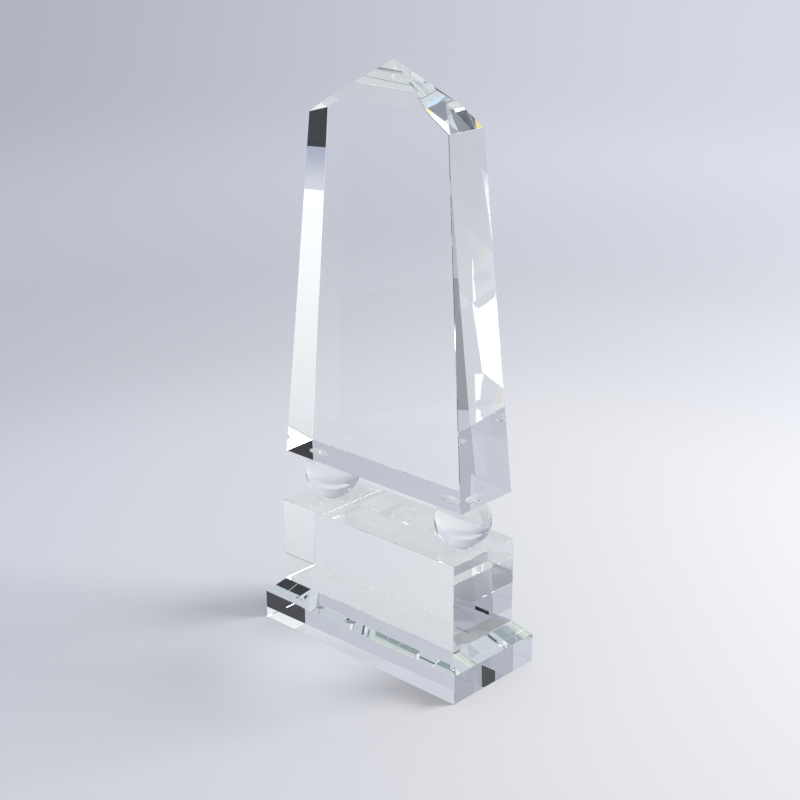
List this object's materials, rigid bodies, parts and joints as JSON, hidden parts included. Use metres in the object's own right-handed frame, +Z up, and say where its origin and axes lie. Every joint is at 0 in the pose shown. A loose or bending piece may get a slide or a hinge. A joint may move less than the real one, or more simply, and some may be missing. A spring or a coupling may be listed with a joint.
{
  "type": "crystal award",
  "caption": "Clear crystal trophy: a tapered tower with a pyramid peak stands on balls over a rectangular block and a bevelled base plate.",
  "frame": {"origin": "centre of the underside of the base plate, on the surface that the award stands on", "axes": "+Z up, +X to the right along the width, the front faces -Y"},
  "size_m": [0.141, 0.063, 0.3155],
  "materials": {
    "cut_crystal": "polished",
    "ball_crystal": "polished",
    "clear_adhesive": "cured, glossy"
  },
  "bodies": {
    "root": {"base_plate": "cut_crystal", "block_adhesive": "clear_adhesive", "block": "cut_crystal", "left_lower_adhesive": "clear_adhesive", "left_ball": "ball_crystal", "left_upper_adhesive": "clear_adhesive", "right_lower_adhesive": "clear_adhesive", "right_ball": "ball_crystal", "right_upper_adhesive": "clear_adhesive", "tower": "cut_crystal"}
  },
  "joints": []
}
